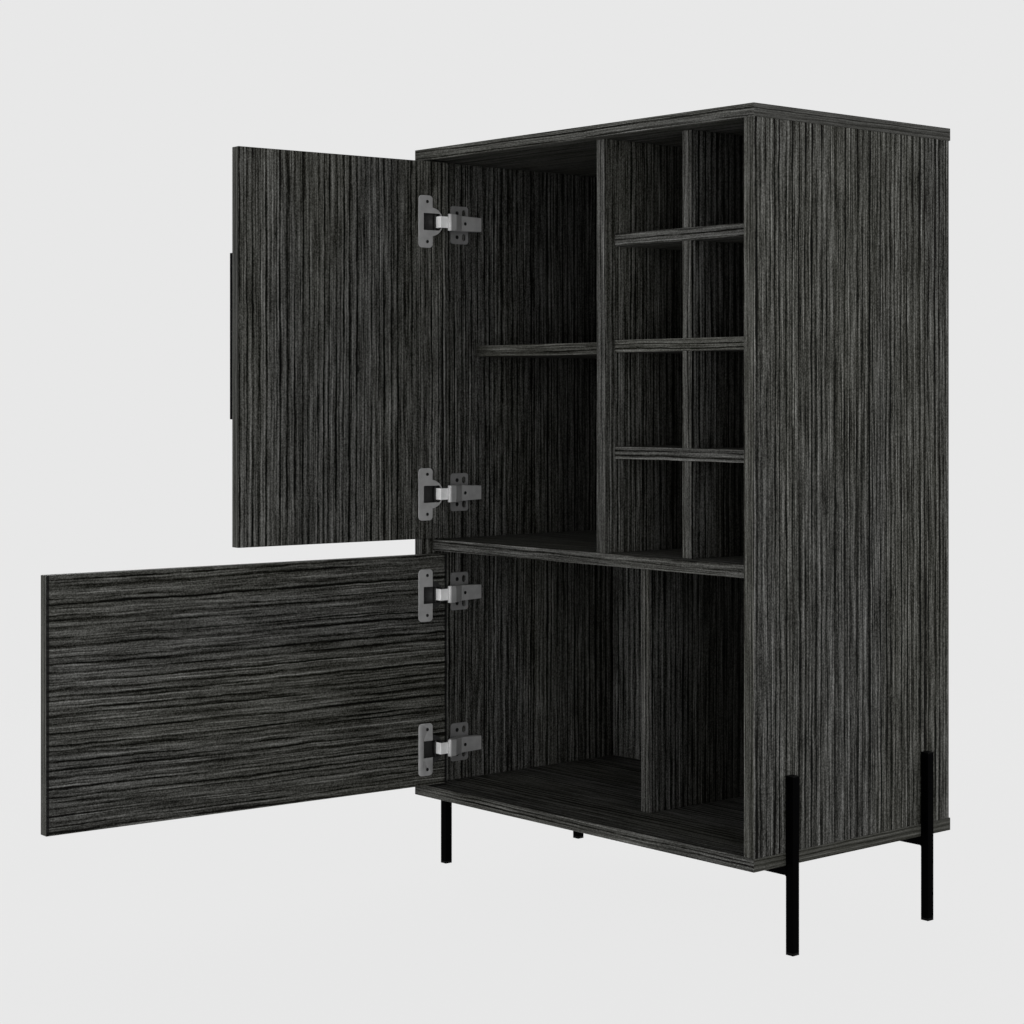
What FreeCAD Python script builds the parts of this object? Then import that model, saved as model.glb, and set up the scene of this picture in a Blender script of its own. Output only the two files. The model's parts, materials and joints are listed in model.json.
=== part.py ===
# Bar cabinet on metal legs: a carcass of laminated boards with a bottle rack, two cupboard
# doors on concealed cup hinges, bar handles, and a base of square steel tube.
# Millimetres. X to the right, Y to the back, Z up. The origin is on the floor, under the
# middle of the carcass. The doors are stored open, as door_open_angle says.
import FreeCAD, Part
import math
import os

Vector = FreeCAD.Vector
X_AXIS = Vector(1, 0, 0)
Y_AXIS = Vector(0, 1, 0)
Z_AXIS = Vector(0, 0, 1)

# Carcass
cabinet_width = 600.0        # over the outer faces of the side panels
cabinet_depth = 350.0        # front edge to back edge of the top panel
body_height = 848.0          # underside of the bottom panel to the top of the top panel
floor_clearance = 99.0       # floor to the underside of the bottom panel
board = 15.0                 # thickness of every carcass board
back_board = 3.0             # thickness of the back panel
back_margin = 3.0            # back panel's edge, in from the outer face of each side
lower_clear_height = 306.0   # bottom panel to middle shelf
inner_setback = 93.0         # upper shelf and lower divider, behind the cabinet's front

# Bottle rack
cubby_width = 113.0          # clear width of one cubby
cubby_columns = 2
cubby_rows = 4
rack_setback = 16.0          # behind the front edge of the upper divider
halving_clearance = 0.1      # on each side of the slots where rack boards cross

# Doors
door_board = 15.0            # thickness of each door
door_gap = 3.0               # round each closed door, and between it and the boards behind it
upper_door_lap = 1.0         # upper door over the front edge of the upper divider
door_open_angle = 94.0       # as stored; 0 is closed
door_over_opening = 11.0     # further turn that the hinges allow, in degrees

# Handles
handle_bar = 10.0            # side of the square bar
handle_length = 207.0
handle_projection = 33.0     # door face to the bar's outer face
handle_post_radius = 4.0
handle_post_spacing = 160.0
upper_handle_edge = 20.2     # upper bar's centre line, in from the door's free edge
upper_handle_rise = 14.5     # upper bar's middle, above the middle of the door
lower_handle_drop = 28.0     # lower bar's centre line, below the door's top edge
lower_handle_edge = 40.0     # lower bar's end, in from the door's free edge
handle_stud_radius = 2.0
handle_stud_grip = 8.0       # stud inside the post
handle_stud_depth = 11.0     # stud inside the door

# Legs and crossbars
tube = 10.6                  # side of the square tube
tube_wall = 1.2
tube_corner = 0.4            # outer corner radius
leg_rise = 101.0             # leg's top, above the underside of the bottom panel
leg_front_inset = 52.5       # front face of the front legs, behind the cabinet's front
leg_back_inset = 46.5        # back face of the back legs, in from the cabinet's back
glide_height = 3.0           # foot glide below the tube
cap_height = 1.0             # end cap above the tube
plug_length = 12.0           # glide's and cap's plug inside the tube
plug_clearance = 0.05
leg_screw_drop = 25.0        # leg screw below the leg's top
leg_screw_radius = 1.75
leg_screw_head_radius = 3.4
base_screw_radius = 2.0
base_screw_head_radius = 4.0
base_screw_head = 2.0
base_screw_edge = 60.0       # outer base screws, in from the crossbar's ends
board_screw_grip = 10.0      # thread of any screw in a board

# Hinge: pin, cup and neck
pivot_from_side = 17.0       # pin's axis to the inner face of the side panel
swing_clearance = 0.4        # door's outer corner to the side panel as it swings past
pin_radius = 1.5
pin_clearance = 0.05         # running clearance of the pin in the neck's eye
eye_radius = 3.0
eye_clearance = 1.1          # eye to the floor of the cup
cup_radius = 17.4
cup_clearance = 0.1          # cup in the door's bore
cup_wall = 0.9
cup_floor = 1.0
cup_offset = 11.0            # cup's axis, further from the door's edge than the pin
flange = 1.2                 # thickness of the flange on the door
flange_radius = 18.5
wing_reach = 20.4            # wings' far edge from the cup's axis
wing_width = 22.0
wing_length = 68.0
wing_corner = 5.0
cup_mouth_reach = 12.4       # mouth's far edge from the cup's axis
cup_mouth_height = 22.0
cup_screw_spacing = 52.0
cup_screw_offset = 6.5       # line of the cup screws from the cup's axis
cup_screw_radius = 1.4
cup_screw_head_radius = 2.1
neck_height = 15.0
neck_thickness = 2.5
neck_clearance = 1.5         # neck to the door's inner corner at the widest opening
neck_overlap = 6.0           # neck inside the arm

# Hinge: arm and mounting plate
arm_wall = 2.0               # web of the arm
cheek_wall = 1.5
cheek_depth = 10.0
cheek_clearance = 1.0        # cheeks to the door's corner as it swings past
nose_from_pin = 10.4         # front end of the arm, behind the pin's axis
nose_rise = 2.5              # underside of the arm's front stretch above the neck
nose_radius = 3.5            # bend at the arm's front end
nose_run = 11.0              # level stretch at the front of the arm
crank_run = 16.5             # sloping stretch
rear_run = 34.0              # level stretch on the mounting plate
arm_front_height = 22.0
arm_rear_height = 18.0
arm_standoff = 25.0          # top of the rear stretch from the side panel
plate = 2.0                  # thickness of the mounting plate
plate_lead = 0.5             # plate's front edge behind the start of the rear stretch
plate_width = 30.0
plate_length = 50.0
plate_corner = 4.0
saddle_side_clearance = 0.4  # saddle to the cheeks that straddle it
plate_screw_spacing = 32.0
plate_screw_lead = 10.8      # plate screws behind the plate's front edge
plate_slot_lead = 22.7       # empty slots behind the plate's front edge
plate_slot_length = 9.5
plate_slot_radius = 3.2
plate_screw_radius = 1.75
plate_screw_head_radius = 2.6
arm_screw_lead = 6.0         # arm screw behind the plate's front edge
arm_screw_radius = 1.6
arm_screw_head_radius = 2.2
screw_head_share = 0.6       # flush head of a hinge screw, as a share of the sheet that it holds
screw_head_recess = 0.1      # flush head below the sheet's face
screw_head_fit = 0.1         # radial clearance of a flush head
drive_width = 0.9            # arm of the cross recess in a flush head
drive_depth = 0.5
drive_reach = 0.75           # cross recess across the head, as a share of its diameter

# Hinge places
upper_hinge_drop = 78.5      # upper door's top hinge below its top edge
upper_hinge_rise = 57.7      # upper door's bottom hinge above its bottom edge
lower_hinge_drop = 52.8      # lower door's top hinge below its top edge
lower_hinge_rise = 46.8      # lower door's bottom hinge above its bottom edge

# Dowels, cam fasteners and nails
fastener_web = 1.0           # wood left between two fasteners back to back in one board
fastener_fit = 0.05          # radial clearance of a fastener in its hole
fastener_end_play = 0.2
dowel_radius = 4.0
dowel_end_depth = 20.0       # dowel inside the end of a board
dowel_inset = 35.0           # dowels from the ends of each joint
cam_inset = 67.0             # cam fasteners from the ends of each joint
bolt_radius = 3.0
cam_distance = 24.0          # cam's axis from the joint
cam_radius = 7.5
cam_depth = 12.0
cam_slot_width = 1.6
cam_slot_length = 10.0
cam_slot_depth = 1.5
nail_radius = 0.7
nail_head_radius = 2.0
nail_head = 0.6
nail_grip = 15.0             # nail inside a board's edge
nail_inset = 30.0            # first and last nail of a row from its ends
side_nails = 6
shelf_nails = 3

same_line = 0.01             # an edge closer than this to a place passes through it

# Planes that the boards share
half_width = cabinet_width / 2
front = -cabinet_depth / 2
back = cabinet_depth / 2
inner_back = back - back_board
bottom_z = floor_clearance
floor_z = bottom_z + board
top_z = bottom_z + body_height
ceiling_z = top_z - board
shelf_z = floor_z + lower_clear_height
shelf_top_z = shelf_z + board
left_inner = -half_width + board
right_inner = half_width - board
middle_front = front + door_board + door_gap
inner_front = front + inner_setback
rack_front = middle_front + rack_setback
rack_middle = (rack_front + inner_back) / 2
rack_width = cubby_columns * cubby_width + (cubby_columns - 1) * board
divider_right = right_inner - rack_width
divider_left = divider_right - board
divider_middle = (divider_left + divider_right) / 2
row_height = (ceiling_z - shelf_top_z - (cubby_rows - 1) * board) / cubby_rows

# Closed doors
door_left = left_inner + door_gap
upper_door_right = divider_left + upper_door_lap
lower_door_right = right_inner - door_gap
door_back = front + door_board
upper_door_bottom = shelf_top_z + door_gap
upper_door_top = ceiling_z - door_gap
lower_door_bottom = floor_z + door_gap
lower_door_top = shelf_z - door_gap

# The pin is placed so that the door's outer corner just swings clear of the side panel.
pin_in_door = pivot_from_side - door_gap
pin_depth = math.sqrt((door_gap - swing_clearance) * (2 * pivot_from_side - door_gap - swing_clearance))
pin_below_face = door_board - pin_depth
pivot = Vector(left_inner + pivot_from_side, front + pin_depth, 0)
cup_depth = pin_below_face + eye_radius + eye_clearance + cup_floor
cup_axis_x = pivot.x + cup_offset

# The neck clears the door's inner corner when the door is open as far as it goes.
corner_radius = math.hypot(pin_in_door, pin_below_face)
corner_angle = math.atan2(pin_in_door, pin_below_face) - math.radians(door_over_opening)
neck_inner_x = pivot.x + corner_radius * math.cos(corner_angle) + neck_clearance
neck_outer_x = neck_inner_x + neck_thickness
cheek_front_y = pivot.y + math.hypot(pin_in_door, pin_depth) + cheek_clearance

# Arm and plate, from the neck backwards
arm_front_x = neck_outer_x + nose_rise + arm_wall
arm_rear_x = left_inner + arm_standoff
nose_y = pivot.y + nose_from_pin
crank_y = nose_y + nose_run
rear_y = crank_y + crank_run
arm_end_y = rear_y + rear_run
plate_y = rear_y + plate_lead
plate_x = left_inner + plate

fastener_face_depth = (board - fastener_web) / 2

parts = {}
holes = {}
door_parts = []


def box(x0, x1, y0, y1, z0, z1):
    """A box between two corners."""
    return Part.makeBox(x1 - x0, y1 - y0, z1 - z0, Vector(x0, y0, z0))


def rod(radius, start, direction, length):
    """A cylinder that begins at a point and runs along a direction."""
    return Part.makeCylinder(radius, length, start, direction)


def prism(points, sweep):
    """A polygon of points swept along a vector."""
    outline = Part.makePolygon(points + [points[0]])
    return Part.Face(outline).extrude(sweep)


def round_edges(shape, axis, radius, place=None):
    """Round the straight edges that run along an axis, or only the one that passes through a place."""
    edges = []
    for edge in shape.Edges:
        start = edge.Vertexes[0].Point
        run = edge.Vertexes[-1].Point - start
        if run.Length > 0 and abs(run.normalize().dot(axis)) > 0.999:
            if place is None or (start - place).cross(axis).Length < same_line:
                edges.append(edge)
    return shape.makeFillet(radius, edges)


def drill(name, tool):
    """Note a hole that is cut from a part when it is written."""
    holes.setdefault(name, []).append(tool)


def collect(name, solid):
    """Add one more solid to a part that is a group of like pieces."""
    parts.setdefault(name, []).append(solid)


def bottle_shelf_z(level):
    """Underside of a bottle shelf; level 1 is the lowest."""
    return shelf_top_z + level * row_height + (level - 1) * board


def rack_divider_x(number):
    """Left face of an upright of the bottle rack; number 1 is the leftmost."""
    return divider_right + number * cubby_width + (number - 1) * board


def make_boards():
    """The boards of the carcass and the back panel."""
    parts["top_panel"] = [box(-half_width, half_width, front, back, ceiling_z, top_z)]
    parts["bottom_panel"] = [box(-half_width, half_width, front, back, bottom_z, floor_z)]
    parts["left_side_panel"] = [box(-half_width, left_inner, front, inner_back, floor_z, ceiling_z)]
    parts["right_side_panel"] = [box(right_inner, half_width, front, inner_back, floor_z, ceiling_z)]
    parts["middle_shelf"] = [box(left_inner, right_inner, middle_front, inner_back, shelf_z, shelf_top_z)]
    parts["upper_divider"] = [
        box(divider_left, divider_right, middle_front, inner_back, shelf_top_z, ceiling_z)
    ]
    parts["lower_divider"] = [box(divider_left, divider_right, inner_front, inner_back, floor_z, shelf_z)]
    shelf_level = bottle_shelf_z(cubby_rows // 2)
    parts["upper_shelf"] = [
        box(left_inner, divider_left, inner_front, inner_back, shelf_level, shelf_level + board)
    ]
    parts["back_panel"] = [
        box(-half_width + back_margin, half_width - back_margin, inner_back, back, floor_z, ceiling_z)
    ]


def make_bottle_rack():
    """Shelves and uprights that cross in halving joints: shelves whole in front, uprights behind."""
    uprights = range(1, cubby_columns)
    levels = range(1, cubby_rows)
    for number in uprights:
        x = rack_divider_x(number)
        parts[f"bottle_divider_{number}"] = [
            box(x, x + board, rack_front, inner_back, shelf_top_z, ceiling_z)
        ]
    for level in levels:
        z = bottle_shelf_z(level)
        parts[f"bottle_shelf_{level}"] = [
            box(divider_right, right_inner, rack_front, inner_back, z, z + board)
        ]
        for number in uprights:
            x = rack_divider_x(number)
            x0 = x - halving_clearance
            x1 = x + board + halving_clearance
            z0 = z - halving_clearance
            z1 = z + board + halving_clearance
            drill(f"bottle_shelf_{level}", box(x0, x1, rack_middle - halving_clearance, back, z0, z1))
            drill(f"bottle_divider_{number}", box(x0, x1, front, rack_middle + halving_clearance, z0, z1))


def fasten(end_board, face_board, x, z, inward, y_front, y_back, cam_side=None):
    """Dowels, and cam fasteners if a face is given for the cams, between a board's end and a face.

    The joint's line runs along Y through x, z. inward points from the joint into the end board.
    """
    play = inward * fastener_end_play
    for y in (y_front + dowel_inset, y_back - dowel_inset):
        start = Vector(x, y, z) - inward * fastener_face_depth
        length = fastener_face_depth + dowel_end_depth
        collect("dowels", rod(dowel_radius, start, inward, length))
        hole = rod(dowel_radius + fastener_fit, start - play, inward, length + 2 * fastener_end_play)
        drill(end_board, hole)
        drill(face_board, hole)
    if cam_side is None:
        return
    for y in (y_front + cam_inset, y_back - cam_inset):
        start = Vector(x, y, z) - inward * fastener_face_depth
        length = fastener_face_depth + cam_distance
        collect("cam_bolts", rod(bolt_radius, start, inward, length))
        hole = rod(bolt_radius + fastener_fit, start - play, inward, length + 2 * fastener_end_play)
        drill(end_board, hole)
        drill(face_board, hole)
        middle = Vector(x, y, z) + inward * cam_distance
        face = middle + cam_side * (board / 2)
        deep = face - cam_side * cam_depth
        across = inward * cam_slot_width + Y_AXIS * cam_slot_length + cam_side * (2 * cam_slot_depth)
        size = Vector(abs(across.x), abs(across.y), abs(across.z))
        slot = Part.makeBox(size.x, size.y, size.z, face - size / 2)
        collect("cam_locks", rod(cam_radius, deep, cam_side, cam_depth).cut([hole, slot]))
        drill(end_board, rod(cam_radius + fastener_fit, deep - cam_side * fastener_end_play, cam_side, board))


def fasten_carcass():
    """The joints between the boards."""
    left = -X_AXIS
    right = X_AXIS
    up = Z_AXIS
    down = -Z_AXIS
    for side, x, inside in (
        ("left_side_panel", -half_width + board / 2, right),
        ("right_side_panel", half_width - board / 2, left),
    ):
        fasten(side, "bottom_panel", x, floor_z, up, front, inner_back, inside)
        fasten(side, "top_panel", x, ceiling_z, down, front, inner_back, inside)
    shelf_middle = shelf_z + board / 2
    for side, x, inward in (("left_side_panel", left_inner, right), ("right_side_panel", right_inner, left)):
        fasten("middle_shelf", side, x, shelf_middle, inward, middle_front, inner_back, down)
    fasten("upper_divider", "middle_shelf", divider_middle, shelf_top_z, up, middle_front, inner_back, left)
    fasten("upper_divider", "top_panel", divider_middle, ceiling_z, down, middle_front, inner_back, left)
    fasten("lower_divider", "bottom_panel", divider_middle, floor_z, up, inner_front, inner_back, left)
    fasten("lower_divider", "middle_shelf", divider_middle, shelf_z, down, inner_front, inner_back, left)
    upper_middle = bottle_shelf_z(cubby_rows // 2) + board / 2
    fasten("upper_shelf", "left_side_panel", left_inner, upper_middle, right, inner_front, inner_back, up)
    fasten("upper_shelf", "upper_divider", divider_left, upper_middle, left, inner_front, inner_back, up)
    for level in range(1, cubby_rows):
        name = f"bottle_shelf_{level}"
        z = bottle_shelf_z(level) + board / 2
        fasten(name, "upper_divider", divider_right, z, right, rack_front, inner_back)
        fasten(name, "right_side_panel", right_inner, z, left, rack_front, inner_back)
    for number in range(1, cubby_columns):
        name = f"bottle_divider_{number}"
        x = rack_divider_x(number) + board / 2
        fasten(name, "middle_shelf", x, shelf_top_z, up, rack_front, inner_back)
        fasten(name, "top_panel", x, ceiling_z, down, rack_front, inner_back)


def spread(first, last, count):
    """Places for a row of count pieces, evenly spaced from first to last."""
    step = (last - first) / (count - 1)
    return [first + number * step for number in range(count)]


def nail(owner, x, z):
    """A nail through the back panel into the back edge of a board."""
    reach = back_board + nail_grip
    tip = Vector(x, back - reach, z)
    head = rod(nail_head_radius, Vector(x, back, z), Y_AXIS, nail_head)
    collect("back_panel_nails", rod(nail_radius, tip, Y_AXIS, reach).fuse(head))
    hole = rod(nail_radius + fastener_fit, tip - Y_AXIS * fastener_end_play, Y_AXIS, reach + board)
    drill("back_panel", hole)
    drill(owner, hole)


def nail_back_panel():
    """Rows of nails into the sides and the middle shelf."""
    for z in spread(floor_z + nail_inset, ceiling_z - nail_inset, side_nails):
        nail("left_side_panel", -half_width + board / 2, z)
        nail("right_side_panel", half_width - board / 2, z)
    for x in spread(left_inner + nail_inset, right_inner - nail_inset, shelf_nails):
        nail("middle_shelf", x, shelf_z + board / 2)


def square_tube(x0, x1, y0, y1, z0, z1, axis):
    """A square tube between two corners, open at both ends of an axis."""
    outer = round_edges(box(x0, x1, y0, y1, z0, z1), axis, tube_corner)
    inset = Vector(1, 1, 1) - axis
    inset = inset * tube_wall
    inner = box(x0 + inset.x, x1 - inset.x, y0 + inset.y, y1 - inset.y, z0 + inset.z, z1 - inset.z)
    return outer.cut(inner)


def tube_plug(x0, y0, z0, z1):
    """A plug that fills the bore of an upright tube whose corner is at x0, y0."""
    inset = tube_wall + plug_clearance
    return box(x0 + inset, x0 + tube - inset, y0 + inset, y0 + tube - inset, z0, z1)


def make_leg(name, x0, y0, outward, side):
    """One leg on the outside of a side panel, with its foot glide, end cap and screw."""
    x1 = x0 + tube
    y1 = y0 + tube
    leg_top = bottom_z + leg_rise
    tube_top = leg_top - cap_height
    parts[name] = [square_tube(x0, x1, y0, y1, glide_height, tube_top, Z_AXIS)]
    pad = round_edges(box(x0, x1, y0, y1, 0, glide_height), Z_AXIS, tube_corner)
    collect("foot_glides", pad.fuse(tube_plug(x0, y0, glide_height, glide_height + plug_length)))
    lid = round_edges(box(x0, x1, y0, y1, tube_top, leg_top), Z_AXIS, tube_corner)
    collect("leg_end_caps", lid.fuse(tube_plug(x0, y0, tube_top - plug_length, tube_top)))
    outer_x = x1 if outward.x > 0 else x0
    head_start = Vector(outer_x, (y0 + y1) / 2, leg_top - leg_screw_drop)
    inward = -outward
    reach = tube + board_screw_grip
    head = rod(leg_screw_head_radius, head_start, inward, tube_wall)
    collect("leg_screws", rod(leg_screw_radius, head_start, inward, reach).fuse(head))
    hole = rod(leg_screw_radius + fastener_fit, head_start, inward, reach + fastener_end_play)
    drill(name, hole)
    drill(name, rod(leg_screw_head_radius + fastener_fit, head_start, inward, tube_wall))
    drill(side, hole)


def make_crossbar(name, y0):
    """The tube under the bottom panel that joins a left and a right leg, with its screws."""
    y1 = y0 + tube
    bar_bottom = bottom_z - tube
    parts[name] = [square_tube(-half_width, half_width, y0, y1, bar_bottom, bottom_z, X_AXIS)]
    outer = half_width - base_screw_edge
    for x in (-outer, 0.0, outer):
        start = Vector(x, (y0 + y1) / 2, bar_bottom)
        reach = tube + board_screw_grip
        head = rod(base_screw_head_radius, start, -Z_AXIS, base_screw_head)
        collect("base_screws", rod(base_screw_radius, start, Z_AXIS, reach).fuse(head))
        hole = rod(base_screw_radius + fastener_fit, start, Z_AXIS, reach + fastener_end_play)
        drill(name, hole)
        drill("bottom_panel", hole)


def make_base():
    """Four legs and two crossbars."""
    rows = (("front", front + leg_front_inset), ("back", back - leg_back_inset - tube))
    for row, y0 in rows:
        make_leg(f"{row}_left_leg", -half_width - tube, y0, -X_AXIS, "left_side_panel")
        make_leg(f"{row}_right_leg", half_width, y0, X_AXIS, "right_side_panel")
        make_crossbar(f"{row}_crossbar", y0)


def make_neck(name, z):
    """The bent neck that reaches from the arm, over the door's edge, to the pin in the cup."""
    z0 = z - neck_height / 2
    z1 = z + neck_height / 2
    half = neck_thickness / 2
    end_y = cheek_front_y + neck_overlap
    stem = box(pivot.x, neck_outer_x, pivot.y - half, pivot.y + half, z0, z1)
    bridge = box(neck_inner_x, neck_outer_x, pivot.y - half, end_y, z0, z1)
    eye = rod(eye_radius, Vector(pivot.x, pivot.y, z0), Z_AXIS, neck_height)
    bore = rod(pin_radius + pin_clearance, Vector(pivot.x, pivot.y, z0), Z_AXIS, neck_height)
    parts[name] = [stem.fuse([bridge, eye]).removeSplitter().cut(bore)]


def arm_plan(z, y0, y1, shrink, x0, x1):
    """The arm's plan seen along X: it narrows from the nose to the rear end."""
    def half_height(y):
        share = (y - nose_y) / (arm_end_y - nose_y)
        return (arm_front_height + share * (arm_rear_height - arm_front_height)) / 2 - shrink
    points = [
        Vector(x0, y0, z - half_height(y0)),
        Vector(x0, y1, z - half_height(y1)),
        Vector(x0, y1, z + half_height(y1)),
        Vector(x0, y0, z + half_height(y0)),
    ]
    return prism(points, X_AXIS * (x1 - x0))


def make_arm(name, z):
    """The cranked channel between the mounting plate and the neck, bent down onto the neck at its nose."""
    z0 = z - arm_front_height
    sweep = Z_AXIS * (2 * arm_front_height)
    low_front_x = arm_front_x - cheek_depth
    low_rear_x = arm_rear_x - cheek_depth
    web_y = nose_y + arm_wall
    profile = [
        (neck_outer_x, nose_y),
        (arm_front_x, nose_y),
        (arm_front_x, crank_y),
        (arm_rear_x, rear_y),
        (arm_rear_x, arm_end_y),
        (low_rear_x, arm_end_y),
        (low_rear_x, rear_y),
        (low_front_x, crank_y),
        (low_front_x, cheek_front_y),
        (neck_outer_x, cheek_front_y),
    ]
    channel = [
        (arm_front_x - arm_wall, web_y),
        (arm_front_x - arm_wall, crank_y),
        (arm_rear_x - arm_wall, rear_y),
        (arm_rear_x - arm_wall, arm_end_y + arm_wall),
        (left_inner, arm_end_y + arm_wall),
        (left_inner, web_y),
    ]
    outer = prism([Vector(x, y, z0) for x, y in profile], sweep)
    outer = round_edges(outer, Z_AXIS, nose_radius, Vector(arm_front_x, nose_y, z0))
    inner = prism([Vector(x, y, z0) for x, y in channel], sweep)
    outer = outer.common(arm_plan(z, nose_y, arm_end_y, 0.0, left_inner, arm_front_x))
    inner = inner.common(arm_plan(z, nose_y, arm_end_y + arm_wall, cheek_wall, left_inner, arm_front_x))
    parts[name] = [outer.cut(inner)]


def make_plate(name, z):
    """The mounting plate on the side panel, with the saddle that the arm sits on."""
    y1 = plate_y + plate_width
    z0 = z - plate_length / 2
    z1 = z + plate_length / 2
    base = round_edges(box(left_inner, plate_x, plate_y, y1, z0, z1), X_AXIS, plate_corner)
    saddle_half = arm_rear_height / 2 - cheek_wall - saddle_side_clearance
    saddle_top = arm_rear_x - arm_wall
    saddle = box(plate_x, saddle_top, plate_y, y1, z - saddle_half, z + saddle_half)
    solid = base.fuse(saddle).removeSplitter()
    slot_y = plate_y + plate_slot_lead
    slot_run = plate_slot_length - 2 * plate_slot_radius
    for side in (-1, 1):
        screw_z = z + side * plate_screw_spacing / 2
        slot = box(
            left_inner,
            plate_x,
            slot_y - plate_slot_radius,
            slot_y + plate_slot_radius,
            screw_z - slot_run / 2,
            screw_z + slot_run / 2,
        )
        ends = [
            rod(plate_slot_radius, Vector(left_inner, slot_y, screw_z + end * slot_run / 2), X_AXIS, plate)
            for end in (-1, 1)
        ]
        solid = solid.cut(slot.fuse(ends))
        hinge_screw(
            "hinge_plate_screws",
            Vector(plate_x, plate_y + plate_screw_lead, screw_z),
            X_AXIS,
            (plate_screw_radius, plate_screw_head_radius),
            plate,
            name,
            "left_side_panel",
        )
    parts[name] = [solid]


def hinge_screw(group, face, outward, radii, sheet, holder, board_name):
    """A screw with a flush, cross-recessed head, through a holder's sheet of metal into what is behind.

    face is the middle of the head, on the sheet's outer face. radii are the thread's and the head's.
    """
    radius, head_radius = radii
    head = screw_head_share * sheet
    top = face - outward * screw_head_recess
    reach = sheet + board_screw_grip
    seat = face - outward * head
    solid = rod(head_radius, seat, outward, head - screw_head_recess).fuse(
        rod(radius, face - outward * reach, outward, reach - screw_head_recess)
    )
    aside = outward.cross(Z_AXIS)
    for along, across in ((Z_AXIS, aside), (aside, Z_AXIS)):
        half = along * (drive_reach * head_radius) + across * (drive_width / 2)
        low = top - half
        high = top + half
        corners = [low, low + across * drive_width, high, high - across * drive_width]
        solid = solid.cut(prism(corners, outward * -drive_depth))
    collect(group, solid)
    drill(holder, rod(head_radius + screw_head_fit, seat, outward, head))
    hole = rod(radius + fastener_fit, face, -outward, reach + fastener_end_play)
    drill(holder, hole)
    drill(board_name, hole)


def make_cup(door, name, z):
    """The cup in a closed door, with its flange, wings and screws, and the pin across it."""
    bore_start = Vector(cup_axis_x, door_back, z)
    inner_radius = cup_radius - cup_wall
    shell = rod(cup_radius, bore_start, -Y_AXIS, cup_depth)
    cavity = rod(inner_radius, bore_start, -Y_AXIS, cup_depth - cup_floor)
    disc = rod(flange_radius, bore_start, Y_AXIS, flange)
    far_x = cup_axis_x + wing_reach
    wings = round_edges(
        box(
            far_x - wing_width,
            far_x,
            door_back,
            door_back + flange,
            z - wing_length / 2,
            z + wing_length / 2,
        ),
        Y_AXIS,
        wing_corner,
    )
    mouth = rod(inner_radius, bore_start, Y_AXIS, flange).common(
        box(
            cup_axis_x - inner_radius,
            cup_axis_x + cup_mouth_reach,
            door_back,
            door_back + flange,
            z - cup_mouth_height / 2,
            z + cup_mouth_height / 2,
        )
    )
    cup = shell.fuse([disc, wings]).removeSplitter().cut([cavity, mouth])
    pin_half = math.sqrt(cup_radius**2 - (cup_offset + pin_radius) ** 2) - pin_clearance
    pin = rod(pin_radius, Vector(pivot.x, pivot.y, z - pin_half), Z_AXIS, 2 * pin_half)
    collect(f"{door}_hinge_pins", pin)
    parts[name] = [cup.cut(pin)]
    drill(f"{door}_panel", rod(cup_radius + cup_clearance, bore_start, -Y_AXIS, cup_depth + cup_clearance))
    for side in (-1, 1):
        face = Vector(cup_axis_x + cup_screw_offset, door_back + flange, z + side * cup_screw_spacing / 2)
        radii = (cup_screw_radius, cup_screw_head_radius)
        hinge_screw(f"{door}_cup_screws", face, Y_AXIS, radii, flange, name, f"{door}_panel")
    door_parts.append(name)


def make_hinge(door, place, z):
    """One concealed hinge: plate and arm on the side panel, neck, and cup in the door."""
    label = f"{door}_{place}_hinge"
    make_plate(f"{label}_plate", z)
    make_arm(f"{label}_arm", z)
    screw_face = Vector(arm_rear_x, plate_y + arm_screw_lead, z)
    radii = (arm_screw_radius, arm_screw_head_radius)
    hinge_screw("hinge_arm_screws", screw_face, X_AXIS, radii, arm_wall, f"{label}_arm", f"{label}_plate")
    make_neck(f"{label}_neck", z)
    make_cup(door, f"{label}_cup", z)


def make_handle(door, centre, along, across):
    """A square bar on two posts, held by studs that end inside the closed door."""
    bar_back = front - handle_projection + handle_bar
    half = along * (handle_length / 2) + across * (handle_bar / 2)
    low = centre - half
    high = centre + half
    parts[f"{door}_handle_bar"] = [box(low.x, high.x, bar_back - handle_bar, bar_back, low.z, high.z)]
    for side in (-1, 1):
        place = centre + along * (side * handle_post_spacing / 2)
        foot = Vector(place.x, front, place.z)
        collect(f"{door}_handle_posts", rod(handle_post_radius, foot, -Y_AXIS, front - bar_back))
        stud_end = foot + Y_AXIS * handle_stud_depth
        reach = handle_stud_depth + handle_stud_grip
        collect(f"{door}_handle_studs", rod(handle_stud_radius, stud_end, -Y_AXIS, reach))
        hole_end = stud_end + Y_AXIS * fastener_end_play
        hole = rod(handle_stud_radius + fastener_fit, hole_end, -Y_AXIS, reach + 2 * fastener_end_play)
        drill(f"{door}_panel", hole)
        drill(f"{door}_handle_posts", hole)
    door_parts.extend([f"{door}_handle_bar", f"{door}_handle_posts", f"{door}_handle_studs"])


def make_doors():
    """Both doors, closed, with their hinges and handles."""
    parts["upper_door_panel"] = [
        box(door_left, upper_door_right, front, door_back, upper_door_bottom, upper_door_top)
    ]
    parts["lower_door_panel"] = [
        box(door_left, lower_door_right, front, door_back, lower_door_bottom, lower_door_top)
    ]
    make_hinge("upper_door", "top", upper_door_top - upper_hinge_drop)
    make_hinge("upper_door", "bottom", upper_door_bottom + upper_hinge_rise)
    make_hinge("lower_door", "top", lower_door_top - lower_hinge_drop)
    make_hinge("lower_door", "bottom", lower_door_bottom + lower_hinge_rise)
    upper_middle = (upper_door_bottom + upper_door_top) / 2 + upper_handle_rise
    upper_centre = Vector(upper_door_right - upper_handle_edge, front, upper_middle)
    make_handle("upper_door", upper_centre, Z_AXIS, X_AXIS)
    lower_x = lower_door_right - lower_handle_edge - handle_length / 2
    make_handle("lower_door", Vector(lower_x, front, lower_door_top - lower_handle_drop), X_AXIS, Z_AXIS)
    for door in ("upper_door", "lower_door"):
        door_parts.extend([f"{door}_panel", f"{door}_hinge_pins", f"{door}_cup_screws"])


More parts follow.
